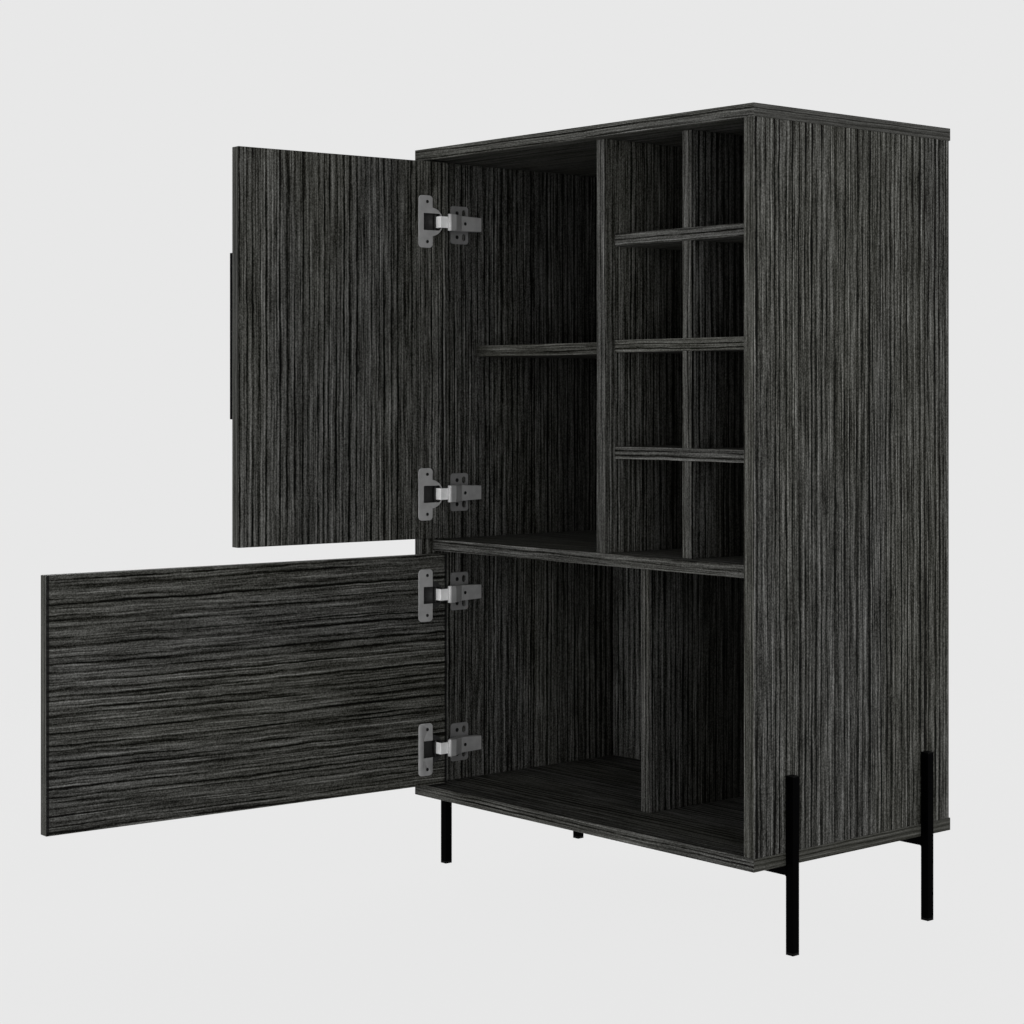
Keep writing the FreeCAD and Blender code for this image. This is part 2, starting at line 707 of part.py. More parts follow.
def write_parts():
    """Cut the holes, swing the doors open and write one file per part."""
    os.makedirs("parts", exist_ok=True)
    for name, solids in parts.items():
        tools = holes.get(name, [])
        finished = [solid.cut(tools) if tools else solid for solid in solids]
        shape = finished[0] if len(finished) == 1 else Part.makeCompound(finished)
        if name in door_parts:
            shape.rotate(pivot, Z_AXIS, -door_open_angle)
        shape.exportStep(f"parts/{name}.step")


make_boards()
make_bottle_rack()
fasten_carcass()
nail_back_panel()
make_base()
make_doors()
write_parts()
print(f"{len(parts)} parts, pivot at {pivot.x:.3f}, {pivot.y:.3f}")
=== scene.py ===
"""Looks of a bar cabinet: laminated boards, plated cup hinges, black steel legs and handles."""
import json
import logging
import math
from dataclasses import dataclass, field
from enum import Enum
from typing import Any, Callable, Iterable, Optional, Union

import bmesh
import bpy
from mathutils import Matrix, Vector


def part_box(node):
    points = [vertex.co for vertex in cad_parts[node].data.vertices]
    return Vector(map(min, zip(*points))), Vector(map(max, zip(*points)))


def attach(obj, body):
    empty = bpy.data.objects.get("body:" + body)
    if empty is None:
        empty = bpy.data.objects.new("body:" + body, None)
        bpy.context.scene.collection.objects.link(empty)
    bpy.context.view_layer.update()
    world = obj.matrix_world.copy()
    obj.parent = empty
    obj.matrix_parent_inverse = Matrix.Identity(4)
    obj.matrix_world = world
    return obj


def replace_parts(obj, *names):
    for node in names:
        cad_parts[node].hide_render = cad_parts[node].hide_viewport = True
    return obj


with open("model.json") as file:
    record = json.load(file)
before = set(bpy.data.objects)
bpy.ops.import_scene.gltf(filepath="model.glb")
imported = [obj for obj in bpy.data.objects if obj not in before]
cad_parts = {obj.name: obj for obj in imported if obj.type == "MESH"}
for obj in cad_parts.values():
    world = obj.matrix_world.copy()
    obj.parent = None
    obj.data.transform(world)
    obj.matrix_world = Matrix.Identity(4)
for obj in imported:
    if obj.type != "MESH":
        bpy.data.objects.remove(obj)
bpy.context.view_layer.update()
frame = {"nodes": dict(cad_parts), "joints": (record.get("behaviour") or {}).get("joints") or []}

log = logging.getLogger("bar_cabinet")
Number = Union[int, float]
Colour = tuple[float, float, float]
Point = tuple[float, float, float]
Pair = tuple[float, float]

MERGE_DISTANCE = 1e-6
HEAD_MERGE_DISTANCE = 1e-5
SAME_FACE = 2e-5
ORDER_DIGITS = 5
FLAT_ANGLE = math.radians(0.5)
ROUND_PROFILE = 0.5
ROUND_STEPS = 2
NO_SEAM_NEAR = 1.0
BOARD_MAPS = ("grain", "ends", "bend")
HINGE_PLACES = ("top", "bottom")


class Axis(Enum):
    """A direction of the cabinet, as an index into a point."""

    X = 0
    Y = 1
    Z = 2


class Body(Enum):
    """The bodies that pieces ride on."""

    CABINET = "cabinet"
    UPPER_DOOR = "upper_door"
    LOWER_DOOR = "lower_door"


# Node expressions


def math_operator(operation: str, reflected: bool = False) -> Callable[["Sock", Any], "Sock"]:
    """Make a method of Sock that adds one Math node.

    Args:
        operation: the node's operation.
        reflected: whether the other value comes first.

    Returns:
        The method.
    """

    def method(self: "Sock", other: Any) -> "Sock":
        """The operation's result."""
        left, right = (other, self) if reflected else (self, other)
        return self.nodes.node("ShaderNodeMath", {"operation": operation}, {0: left, 1: right})

    return method


class Sock:
    """A node's output that takes part in Python expressions."""

    __add__ = math_operator("ADD")
    __radd__ = math_operator("ADD", reflected=True)
    __sub__ = math_operator("SUBTRACT")
    __rsub__ = math_operator("SUBTRACT", reflected=True)
    __mul__ = math_operator("MULTIPLY")
    __rmul__ = math_operator("MULTIPLY", reflected=True)
    __pow__ = math_operator("POWER")
    __rpow__ = math_operator("POWER", reflected=True)
    least = math_operator("MINIMUM")
    most = math_operator("MAXIMUM")

    def __init__(self, nodes: "Nodes", socket: bpy.types.NodeSocket) -> None:
        """Wrap one output socket of a tree."""
        self.nodes = nodes
        self.socket = socket

    def beside(self, name: str) -> "Sock":
        """Another output of the same node."""
        return Sock(self.nodes, self.socket.node.outputs[name])


class Nodes:
    """A node tree that expressions are written into."""

    def __init__(self, tree: bpy.types.NodeTree) -> None:
        """Take over a tree and empty it."""
        self.tree = tree
        self.tree.nodes.clear()

    def node(
        self,
        kind: str,
        settings: Optional[dict[str, Any]] = None,
        values: Optional[dict[Union[int, str], Any]] = None,
        result: Union[int, str, None] = 0,
    ) -> Optional[Sock]:
        """Add a node.

        Args:
            kind: the node's type.
            settings: attributes of the node, set before its sockets.
            values: plain values, Socks or lists of Socks for its input sockets, by name or place.
            result: the output that is returned, or None for a node without outputs.

        Returns:
            The chosen output.
        """
        made = self.tree.nodes.new(kind)
        for key, value in (settings or {}).items():
            setattr(made, key, value)
        for key, value in (values or {}).items():
            self.feed(made.inputs[key], value)
        return None if result is None else Sock(self, made.outputs[result])

    def feed(self, target: bpy.types.NodeSocket, value: Any) -> None:
        """Link one Sock or a list of them to an input socket, or set the socket to a plain value."""
        if isinstance(value, list):
            for part in value:
                self.feed(target, part)
        elif isinstance(value, Sock):
            self.tree.links.new(value.socket, target)
        elif isinstance(value, tuple) and target.type == "RGBA" and len(value) == 3:
            target.default_value = (*value, 1.0)
        else:
            target.default_value = value

    def vector(self, x: Any, y: Any, z: Any) -> Sock:
        """A vector of three values."""
        return self.node("ShaderNodeCombineXYZ", values={0: x, 1: y, 2: z})


class ShaderNodes(Nodes):
    """The tree of a material or a world."""

    def split(self, vector: Sock) -> tuple[Sock, Sock, Sock]:
        """The three parts of a vector."""
        first = self.node("ShaderNodeSeparateXYZ", values={0: vector})
        return first, first.beside("Y"), first.beside("Z")

    def uv(self, name: str) -> tuple[Sock, Sock]:
        """The two coordinates of a named UV map."""
        first, second, _ = self.split(self.node("ShaderNodeUVMap", {"uv_map": name}))
        return first, second

    def mark(self, name: str) -> Sock:
        """A number that the mesh carries on its faces."""
        return self.node("ShaderNodeAttribute", {"attribute_name": name}, result="Fac")

    def point(self) -> Sock:
        """Object coordinates."""
        return self.node("ShaderNodeTexCoord", result="Object")

    def seen(self) -> Sock:
        """One for the rays that show a surface to the camera, and zero for those that carry its light."""
        camera = self.node("ShaderNodeLightPath", result="Is Camera Ray")
        return camera.most(camera.beside("Is Glossy Ray")).most(camera.beside("Is Transmission Ray"))

    def noise(self, vector: Sock, rate: float = 1.0, detail: float = 2.0) -> Sock:
        """Smooth noise from 0 to 1, with a number of features per unit of the vector."""
        return self.node("ShaderNodeTexNoise", None, {"Vector": vector, "Scale": rate, "Detail": detail})

    def colour(self, red: Any, green: Any, blue: Any) -> Sock:
        """A colour of three values."""
        return self.node("ShaderNodeCombineColor", values={0: red, 1: green, 2: blue})

    def ramp(self, value: Sock, low: float, high: float, start: float = 0.0, end: float = 1.0) -> Sock:
        """A smooth step of a value, from start at low to end at high."""
        values = {"Value": value, "From Min": low, "From Max": high, "To Min": start, "To Max": end}
        return self.node("ShaderNodeMapRange", {"interpolation_type": "SMOOTHSTEP"}, values)

    def blend(self, share: Any, first: Any, second: Any) -> Sock:
        """A colour between two colours."""
        return self.node("ShaderNodeMix", {"data_type": "RGBA"}, {0: share, 6: first, 7: second}, 2)

    def bump(self, height: Sock, strength: float, distance: float) -> Sock:
        """A normal that follows a height."""
        values = {"Strength": strength, "Distance": distance, "Height": height}
        return self.node("ShaderNodeBump", None, values)


class Shader(ShaderNodes):
    """One material's node tree."""

    def __init__(self, name: str) -> None:
        """Start an empty material."""
        self.material = bpy.data.materials.new(name)
        self.material.use_nodes = True
        super().__init__(self.material.node_tree)

    def principled(self, **values: Any) -> bpy.types.Material:
        """End the tree in a Principled surface.

        Args:
            values: its inputs; an underscore in a name stands for a space.

        Returns:
            The finished material.
        """
        inputs = {key.replace("_", " "): value for key, value in values.items()}
        return self.end(self.node("ShaderNodeBsdfPrincipled", values=inputs))

    def end(self, surface: Sock) -> bpy.types.Material:
        """End the tree in a surface and return the material."""
        self.node("ShaderNodeOutputMaterial", values={"Surface": surface}, result=None)
        return self.material


# Finishes


@dataclass(frozen=True)
class Streaks:
    """Noise drawn out along the grain, with its features per metre both ways."""

    along_rate: float
    across_rate: float
    weight: float
    seed: float
    detail: float = 1.0

    def value(self, s: Shader, along: Sock, across: Sock) -> Sock:
        """The noise at a point, spread about zero.

        Args:
            s: the material.
            along: coordinate along the grain, in metres.
            across: coordinate across it.

        Returns:
            A value within half the weight of zero.
        """
        place = s.vector(along * self.along_rate, across * self.across_rate, self.seed)
        return (s.noise(place, detail=self.detail) - 0.5) * self.weight


@dataclass(frozen=True)
class GrainLines:
    """One family of lines that run along the grain, dark, or light where the strength is negative.

    The period is in metres. Width is a line's half width as a share of the period, fade_rate counts the
    changes in darkness per metre, and a line fades where its own noise falls from fade_high to fade_low.
    """

    period: float
    scatter: float
    width: float
    strength: float
    fade_rate: float
    faintest: float
    seed: float
    fade_low: float = 0.32
    fade_high: float = 0.62
    thinnest: float = 0.55
    thickening: float = 0.9
    row_step: float = 37.0

    def shade(self, s: Shader, along: Sock, across: Sock, rough: Sock) -> Sock:
        """How dark the lines are at a point.

        Args:
            s: the material.
            along: coordinate along the grain.
            across: coordinate across it.
            rough: a small noise that frays the lines' edges.

        Returns:
            Zero between lines, up to the family's strength on one.
        """
        place = across * (1.0 / self.period) + self.seed
        settings = {"voronoi_dimensions": "1D", "feature": "F1"}
        values = {"W": place, "Scale": 1.0, "Randomness": self.scatter}
        distance = s.node("ShaderNodeTexVoronoi", settings, values)
        own, _, _ = s.split(distance.beside("Color"))
        spot = s.vector(along * self.fade_rate, own * self.row_step, self.seed)
        fade = s.ramp(s.noise(spot, detail=1.0), self.fade_low, self.fade_high, self.faintest, 1.0)
        width = (own * self.thickening + self.thinnest) * self.width
        return s.ramp(distance + rough, 0.0, width, 1.0, 0.0) * fade * self.strength


@dataclass(frozen=True)
class LaminateFinish:
    """Charcoal wood-grain laminate on board, with a thin band on every edge. Front edges are painted
    lighter: painted light for the light they catch.

    Tones are shares of white as the eye sees them, and become light by the power of gamma.
    """

    tone: float = 0.285
    # painted light: how much lighter the front edges are painted, standing in for the light they catch
    edge_painted_light: float = 0.026
    darkest: float = 0.03
    gamma: float = 2.2
    least_olive: float = 0.008
    most_olive: float = 0.0155
    olive_spread: float = 0.15
    seam: Colour = (0.004, 0.004, 0.004)
    seam_width: float = 0.0042
    seam_core: float = 0.85
    seam_share: float = 0.9
    rough: float = 0.6
    pore_depth: float = 0.2
    pore_rough: float = 0.16
    pore_relief: float = 2.0
    relief: float = 0.3
    relief_height: float = 0.0003
    gloss: float = 0.06
    hue: Streaks = Streaks(1.3, 9.0, 1.0, 9.4)
    drift: Streaks = Streaks(2.0, 6.0, 0.016, 3.1)
    waver: Streaks = Streaks(11.0, 45.0, 0.0032, 8.7)
    ripple: Streaks = Streaks(26.0, 70.0, 0.002, 1.3)
    fray: Streaks = Streaks(80.0, 420.0, 0.22, 5.5)
    fibre: Streaks = Streaks(14.0, 420.0, 0.5, 4.2, 2.0)
    mottle: Streaks = Streaks(520.0, 700.0, 0.38, 2.4)
    patch: Streaks = Streaks(1.7, 22.0, 0.09, 6.6, 2.0)
    families: tuple[GrainLines, ...] = (
        GrainLines(0.0102, 0.55, 0.22, 0.24, 6.0, 0.35, 11.3),
        GrainLines(0.0058, 1.0, 0.26, 0.12, 13.0, 0.0, 47.9),
        GrainLines(0.0034, 1.0, 0.32, 0.06, 24.0, 0.0, 83.1),
        GrainLines(0.0049, 1.0, 0.24, -0.13, 9.0, 0.0, 29.6),
    )

    def build(self) -> bpy.types.Material:
        """Build the laminate.

        Returns:
            A material that reads a board's UV maps and the mark of the edges that get painted light.
        """
        s = Shader("dark_laminate")
        along, across = s.uv("grain")
        end_low, end_high = s.uv("ends")
        sway, contrast = s.uv("bend")
        bend = self.drift.value(s, along, across) + self.waver.value(s, along, across)
        line = across + bend * sway + self.ripple.value(s, along, across)
        fray = self.fray.value(s, along, line)
        fibre = self.fibre.value(s, along, line)
        mottle = self.mottle.value(s, along, line)
        patch = self.patch.value(s, along, across)
        dark = sum(family.shade(s, along, line, fray) for family in self.families)
        # edges that face along Y get painted light on top of the plain tone
        plain = s.mark("front_edge") * self.edge_painted_light + self.tone
        tone = ((fibre + mottle + patch - dark) * contrast + plain).most(self.darkest)
        hue = self.hue.value(s, along, across)
        olive = s.ramp(hue, -self.olive_spread, self.olive_spread, self.least_olive, self.most_olive)
        light = tone ** self.gamma
        wood = s.colour(light, light, (tone - olive) ** self.gamma)
        core = self.seam_width * self.seam_core
        seam = s.ramp(end_low.least(end_high), core, self.seam_width, self.seam_share, 0.0)
        return s.principled(
            Base_Color=s.blend(seam, wood, self.seam),
            Roughness=s.ramp(dark, 0.0, self.pore_depth, self.rough, self.rough + self.pore_rough),
            Normal=s.bump(fibre - dark * self.pore_relief - seam, self.relief, self.relief_height),
            Specular_IOR_Level=self.gloss,
        )


def shaded(colour: Colour, share: float) -> Colour:
    """A colour made darker or lighter by a share."""
    red, green, blue = colour
    return red * share, green * share, blue * share


@dataclass(frozen=True)
class PowderCoatFinish:
    """Matt black powder coat on steel, with a fine orange peel."""

    colour: Colour = (0.0005, 0.0005, 0.0006)
    cloud_lift: float = 1.5
    cloud_rate: float = 35.0
    cloud_range: Pair = (0.3, 0.7)
    peel_rate: float = 900.0
    rough: Pair = (0.53, 0.64)
    relief: float = 0.12
    relief_height: float = 0.0003
    gloss: float = 0.008

    def build(self) -> bpy.types.Material:
        """Build the coat.

        Returns:
            A black material.
        """
        s = Shader("black_powder_coat")
        peel = s.noise(s.point(), self.peel_rate)
        cloud = s.noise(s.point(), self.cloud_rate)
        pale = shaded(self.colour, self.cloud_lift)
        return s.principled(
            Base_Color=s.blend(s.ramp(cloud, *self.cloud_range), self.colour, pale),
            Roughness=s.ramp(cloud, *self.cloud_range, *self.rough),
            Normal=s.bump(peel, self.relief, self.relief_height),
            Specular_IOR_Level=self.gloss,
        )


@dataclass(frozen=True)
class PlatedSteelFinish:
    """Plated sheet steel, satin or bright, with fine brushing along Y and faint clouds."""

    name: str
    colour: Colour
    rough: float
    metallic: float
    cloud_shade: float = 0.86
    cloud_rate: float = 90.0
    cloud_range: Pair = (0.3, 0.72)
    brush_rate: float = 700.0
    along_rate: float = 40.0
    brush_range: Pair = (0.25, 0.75)
    smoother: float = 0.07
    rougher: float = 0.09
    relief: float = 0.06
    relief_height: float = 0.0002

    def build(self) -> bpy.types.Material:
        """Build the plating.

        Returns:
            A metal material.
        """
        s = Shader(self.name)
        x, y, z = s.split(s.point())
        stretched = s.vector(x * self.brush_rate, y * self.along_rate, z * self.brush_rate)
        brush = s.noise(stretched, detail=1.0)
        cloud = s.ramp(s.noise(s.point(), self.cloud_rate), *self.cloud_range)
        rough = (self.rough - self.smoother, self.rough + self.rougher)
        return s.principled(
            Base_Color=s.blend(cloud, self.colour, shaded(self.colour, self.cloud_shade)),
            Roughness=s.ramp(brush, *self.brush_range, *rough),
            Metallic=self.metallic,
            Normal=s.bump(brush, self.relief, self.relief_height),
        )


@dataclass(frozen=True)
class PlasticFinish:
    """Moulded black plastic with a fine spark-eroded grain."""

    colour: Colour = (0.002, 0.002, 0.002)
    grain_shade: float = 0.8
    grain_rate: float = 1400.0
    grain_detail: float = 3.0
    grain_range: Pair = (0.3, 0.7)
    rough: Pair = (0.49, 0.63)
    relief: float = 0.12
    relief_height: float = 0.0002
    gloss: float = 0.05

    def build(self) -> bpy.types.Material:
        """Build the plastic.

        Returns:
            A dull black material.
        """
        s = Shader("black_plastic")
        grain = s.noise(s.point(), self.grain_rate, self.grain_detail)
        return s.principled(
            Base_Color=s.blend(grain, self.colour, shaded(self.colour, self.grain_shade)),
            Roughness=s.ramp(grain, *self.grain_range, *self.rough),
            Normal=s.bump(grain, self.relief, self.relief_height),
            Specular_IOR_Level=self.gloss,
        )


@dataclass(frozen=True)
class BeechFinish:
    """Bare beech of the dowels, with short dark flecks."""

    pale: Colour = (0.52, 0.36, 0.21)
    brown: Colour = (0.38, 0.24, 0.13)
    fleck_rate: float = 420.0
    brown_range: Pair = (0.45, 0.65)
    rough_range: Pair = (0.3, 0.7)
    rough: Pair = (0.6, 0.75)
    relief: float = 0.1
    relief_height: float = 0.0002

    def build(self) -> bpy.types.Material:
        """Build the beech.

        Returns:
            A pale wood material.
        """
        s = Shader("beech")
        fleck = s.noise(s.point(), self.fleck_rate)
        return s.principled(
            Base_Color=s.blend(s.ramp(fleck, *self.brown_range), self.pale, self.brown),
            Roughness=s.ramp(fleck, *self.rough_range, *self.rough),
            Normal=s.bump(fleck, self.relief, self.relief_height),
        )


class Finish(Enum):
    """The finishes of the cabinet's parts."""

    LAMINATE = LaminateFinish()
    BLACK = PowderCoatFinish()
    SATIN = PlatedSteelFinish("satin_nickel", (0.41, 0.41, 0.41), 0.5, 0.35)
    # painted shade: a darker copy of the satin nickel for the plates, which lie flat in the cabinet's
    # shade
    DULL = PlatedSteelFinish("plate_nickel_painted_shade", (0.27, 0.27, 0.27), 0.55, 0.3)
    # a brighter steel part, whose near-white colour also paints in the highlight it catches
    BRIGHT = PlatedSteelFinish("neck_nickel_painted_highlight", (0.98, 0.98, 0.98), 0.4, 0.1)
    ZINC = PlatedSteelFinish("zinc_plate", (0.42, 0.42, 0.41), 0.45, 0.9)
    SCREW = PlatedSteelFinish("black_oxide", (0.018, 0.018, 0.018), 0.5, 0.6)
    PLASTIC = PlasticFinish()
    # dark steel that paints shade into the cup's hollow and round the hinge pin, and colours the dark rim
    # of the lower cups
    CUP_INSIDE = PlatedSteelFinish("painted_shade_and_dark_rim", (0.02, 0.02, 0.02), 0.6, 0.4)
    BEECH = BeechFinish()


Palette = dict[Finish, bpy.types.Material]


# Meshes


def paint(node: str, material: bpy.types.Material) -> None:
    """Give a CAD node its finish.

    Args:
        node: the node's name.
        material: its only material.
    """
    mesh = frame["nodes"][node].data
    mesh.materials.clear()
    mesh.materials.append(material)


def put_in_scene(name: str, data: bpy.types.ID) -> bpy.types.Object:
    """Make an object and link it to the scene.

    Args:
        name: the object's name.
        data: its mesh, lamp or camera.

    Returns:
        The new object.
    """
    made = bpy.data.objects.new(name, data)
    bpy.context.scene.collection.objects.link(made)
    return made


def add_piece(name: str, mesh: bpy.types.Mesh, body: Body) -> bpy.types.Object:
    """Put a finished mesh in the scene as a piece.

    Args:
        name: the piece's name.
        mesh: its mesh, in place.
        body: what it moves with.

    Returns:
        The new object.
    """
    piece = put_in_scene(name, mesh)
    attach(piece, body.value)
    log.info("%s: %d faces on %s", name, len(mesh.polygons), body.value)
    return piece


def merged_copy(node: str) -> bmesh.types.BMesh:
    """A CAD node's mesh with its loose triangles joined and its flat faces whole.

    Args:
        node: the node's name.

    Returns:
        A new bmesh, which the caller frees.
    """
    shape = bmesh.new()
    shape.from_mesh(frame["nodes"][node].data)
    bmesh.ops.remove_doubles(shape, verts=shape.verts, dist=MERGE_DISTANCE)
    bmesh.ops.dissolve_limit(shape, angle_limit=FLAT_ANGLE, verts=shape.verts, edges=shape.edges)
    return shape


def box_of(vertices: Iterable[bmesh.types.BMVert]) -> tuple[Vector, Vector]:
    """The box round some vertices.

    Args:
        vertices: one or more vertices of a mesh.

    Returns:
        The lowest and highest corner.
    """
    spread = list(zip(*(vertex.co for vertex in vertices)))
    return Vector(min(parts) for parts in spread), Vector(max(parts) for parts in spread)


def main_axis(direction: Vector) -> Axis:
    """The axis that a direction follows most."""
    return max(Axis, key=lambda axis: abs(direction[axis.value]))


def islands(node: str) -> list[tuple[Vector, Vector]]:
    """The boxes of the separate solids of a CAD node.

    Args:
        node: the node's name.

    Returns:
        The lowest and highest corner of each solid, in a fixed order.
    """
    shape = merged_copy(node)
    left = set(shape.verts)
    found = []
    while left:
        stack = [left.pop()]
        group = list(stack)
        while stack:
            vertex = stack.pop()
            for edge in vertex.link_edges:
                other = edge.other_vert(vertex)
                if other in left:
                    left.remove(other)
                    stack.append(other)
                    group.append(other)
        found.append(box_of(group))
    shape.free()
    return sorted(
        found, key=lambda corners: [round(part, ORDER_DIGITS) for corner in corners for part in corner]
    )


def joint_of(body: Body) -> Optional[dict[str, Any]]:
    """The joint that a body turns on, or None for the cabinet."""
    return next((joint for joint in frame["joints"] if joint["child"] == body.value), None)


def closing_turn(body: Body) -> Matrix:
    """The turn that closes a door from its stored pose; no turn for the cabinet.

    Args:
        body: the body to close.

    Returns:
        A matrix in the cabinet's frame.
    """
    joint = joint_of(body)
    if joint is None:
        return Matrix.Identity(4)
    place = Vector(joint["pos_m"])
    closed = math.radians(joint["range_deg"][0])
    turn = Matrix.Rotation(closed, 4, Vector(joint["axis"]))
    return Matrix.Translation(place) @ turn @ Matrix.Translation(-place)


def finished_mesh(
    name: str, shape: bmesh.types.BMesh, materials: Iterable[bpy.types.Material]
) -> bpy.types.Mesh:
    """Turn a bmesh into a plain mesh and free it.

    Args:
        name: the mesh's name.
        shape: the bmesh.
        materials: the mesh's finishes.

    Returns:
        The mesh.
    """
    mesh = bpy.data.meshes.new(name)
    shape.to_mesh(mesh)
    shape.free()
    for material in materials:
        mesh.materials.append(material)
    return mesh


@dataclass
class DressedPart:
    """A CAD node that its own shape replaces, with rounded edges and finer looks."""

    node: str
    body: Body

    def replace_node(
        self, shape: bmesh.types.BMesh, suffix: str, slot: str, materials: Iterable[bpy.types.Material]
    ) -> None:
        """Make the piece in place of its CAD node.

        Args:
            shape: the part in its stored pose.
            suffix: the end of the piece's name.
            slot: the record's material slot; not used.
            materials: the piece's finishes.
        """
        closed = closing_turn(self.body)
        bmesh.ops.transform(shape, matrix=closed, verts=shape.verts)
        self.dress(shape)
        bmesh.ops.transform(shape, matrix=closed.inverted(), verts=shape.verts)
        name = f"{self.node}_{suffix}"
        mesh = finished_mesh(name, shape, materials)
        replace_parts(add_piece(name, mesh, self.body), self.node)

    def dress(self, shape: bmesh.types.BMesh) -> None:
        """Work on the closed part; each kind of part has its own way."""
        raise NotImplementedError

    @staticmethod
    def round_off(shape: bmesh.types.BMesh, edges: list[bmesh.types.BMEdge], reach: float) -> None:
        """Round some edges of a mesh.

        Args:
            shape: the mesh.
            edges: its edges to round.
            reach: how far the rounding goes.
        """
        bmesh.ops.bevel(
            shape, geom=edges, offset=reach, segments=ROUND_STEPS, profile=ROUND_PROFILE, affect="EDGES"
        )


@dataclass
class EasedPart(DressedPart):
    """A metal CAD part whose sharp outer edges are eased, so that they catch the light.

    Faces in its dark zone have a second, dark finish. With the part closed, the zone is deeper than
    shade_depth under its rear face, where the cup's hollow is partly dark steel and partly painted shade;
    further than plain_width from its right edge, a dark rim; or nearer the pin than pin_shade_radius,
    painted shade where the neck dips into the cup.
    """

    slot: str
    ease: float = 0.0003
    sharp: float = math.radians(50.0)
    shade_depth: float = math.inf
    plain_width: float = math.inf
    pin_shade_radius: float = 0.0
    pin: Vector = field(default_factory=Vector)

    def build(self, *materials: bpy.types.Material) -> None:
        """Ease the sharp edges and make the piece.

        Args:
            materials: its finish, and the finish of its dark zone if it has one.
        """
        shape = merged_copy(self.node)
        edges = [
            edge
            for edge in shape.edges
            if edge.is_manifold and edge.is_convex and edge.calc_face_angle() > self.sharp
        ]
        self.round_off(shape, edges, self.ease)
        self.replace_node(shape, "eased", self.slot, materials)

    def dress(self, shape: bmesh.types.BMesh) -> None:
        """Mark the faces of the dark zone: painted shade in the cup and round the pin, and the dark rim.

        Args:
            shape: the closed part.
        """
        _, high = box_of(shape.verts)
        level = high.y - self.shade_depth
        left = high.x - self.plain_width
        if math.isfinite(left):
            everything = [*shape.verts, *shape.edges, *shape.faces]
            bmesh.ops.bisect_plane(shape, geom=everything, plane_co=(left, 0, 0), plane_no=(1, 0, 0))
        for face in shape.faces:
            place = face.calc_center_median()
            near = (place - self.pin).xy.length < self.pin_shade_radius
            face.material_index = int(place.y < level or place.x < left or near)


@dataclass
class Board(DressedPart):
    """One laminated board: a CAD board with eased edges and a grain that follows each face."""

    grain: Axis
    seed: int
    seams: bool = False
    sway: float = 0.4
    face_contrast: float = 1.0
    edge_fineness: float = 1.6
    front_sway: float = 1.2
    front_contrast: float = 0.92
    side_contrast: float = 0.5
    # share of the painted light on this board's front edges; none for a board that stands back in shade
    front_painted_light: float = 1.0
    ease: float = 0.0006
    seed_step: float = 3.7
    facing_step: float = 1.9
    outward_step: float = 0.83
    across_share: float = 0.61
    low: Vector = field(default_factory=Vector)
    high: Vector = field(default_factory=Vector)

    def build(self, material: bpy.types.Material) -> None:
        """Make the piece.

        Args:
            material: the laminate.
        """
        self.replace_node(merged_copy(self.node), "board", "dark_laminate", [material])

    def dress(self, shape: bmesh.types.BMesh) -> None:
        """Ease the board's outline, and write its grain, and the painted light of its front edges, to the
        faces.

        Args:
            shape: the closed board.
        """
        self.low, self.high = box_of(shape.verts)
        self.round_off(shape, self._outline(shape), self.ease)
        maps = [shape.loops.layers.uv.new(name) for name in BOARD_MAPS]
        front_edge = shape.faces.layers.float.new("front_edge")
        for face in shape.faces:
            facing = main_axis(face.normal)
            outward = face.normal[facing.value] > 0
            # edges that face along Y carry the painted light
            face[front_edge] = self.front_painted_light if facing is Axis.Y and facing is not self.thin() else 0.0
            for loop in face.loops:
                for layer, place in zip(maps, self.grain_at(loop.vert.co, facing, outward)):
                    loop[layer].uv = place

    def _outline(self, shape: bmesh.types.BMesh) -> list[bmesh.types.BMEdge]:
        """The edges of the board's own box.

        Args:
            shape: the closed board.

        Returns:
            The edges that lie on two of the box's faces.
        """
        edges = []
        for edge in shape.edges:
            on_faces = sum(
                all(abs(vertex.co[axis.value] - face[axis.value]) < SAME_FACE for vertex in edge.verts)
                for axis in Axis
                for face in (self.low, self.high)
            )
            if on_faces >= 2:
                edges.append(edge)
        return edges

    def thin(self) -> Axis:
        """The axis of the board's thickness."""
        return min(Axis, key=lambda axis: self.high[axis.value] - self.low[axis.value])

    def grain_at(self, place: Vector, facing: Axis, outward: bool) -> list[Pair]:
        """The board's UV maps at a point of one of its faces.

        Args:
            place: the point, with the board closed.
            facing: the axis that the face looks along.
            outward: whether it looks towards that axis's far end.

        Returns:
            Along and across the grain; the ways to the face's low and high ends; how much the grain
            sways, and its contrast.
        """
        size = self.high - self.low
        edge = facing is not self.thin()
        in_face = [axis for axis in Axis if axis is not facing]
        along = max(in_face, key=lambda axis: size[axis.value]) if edge else self.grain
        across = next(axis for axis in in_face if axis is not along)
        shift = self.seed_step * self.seed + self.facing_step * facing.value + self.outward_step * outward
        marked = self.seams and not edge
        to_low = place[along.value] - self.low[along.value] if marked else NO_SEAM_NEAR
        to_high = self.high[along.value] - place[along.value] if marked else NO_SEAM_NEAR
        fineness = self.edge_fineness if edge else 1.0
        grain = (place[along.value] + shift, fineness * place[across.value] + self.across_share * shift)
        bend = (self.sway, self.face_contrast)
        if edge and facing is Axis.X:
            bend = (self.sway, self.side_contrast)
        elif edge:
            bend = (self.front_sway, self.front_contrast)
        return [grain, (to_low, to_high), bend]


# Geometry Nodes


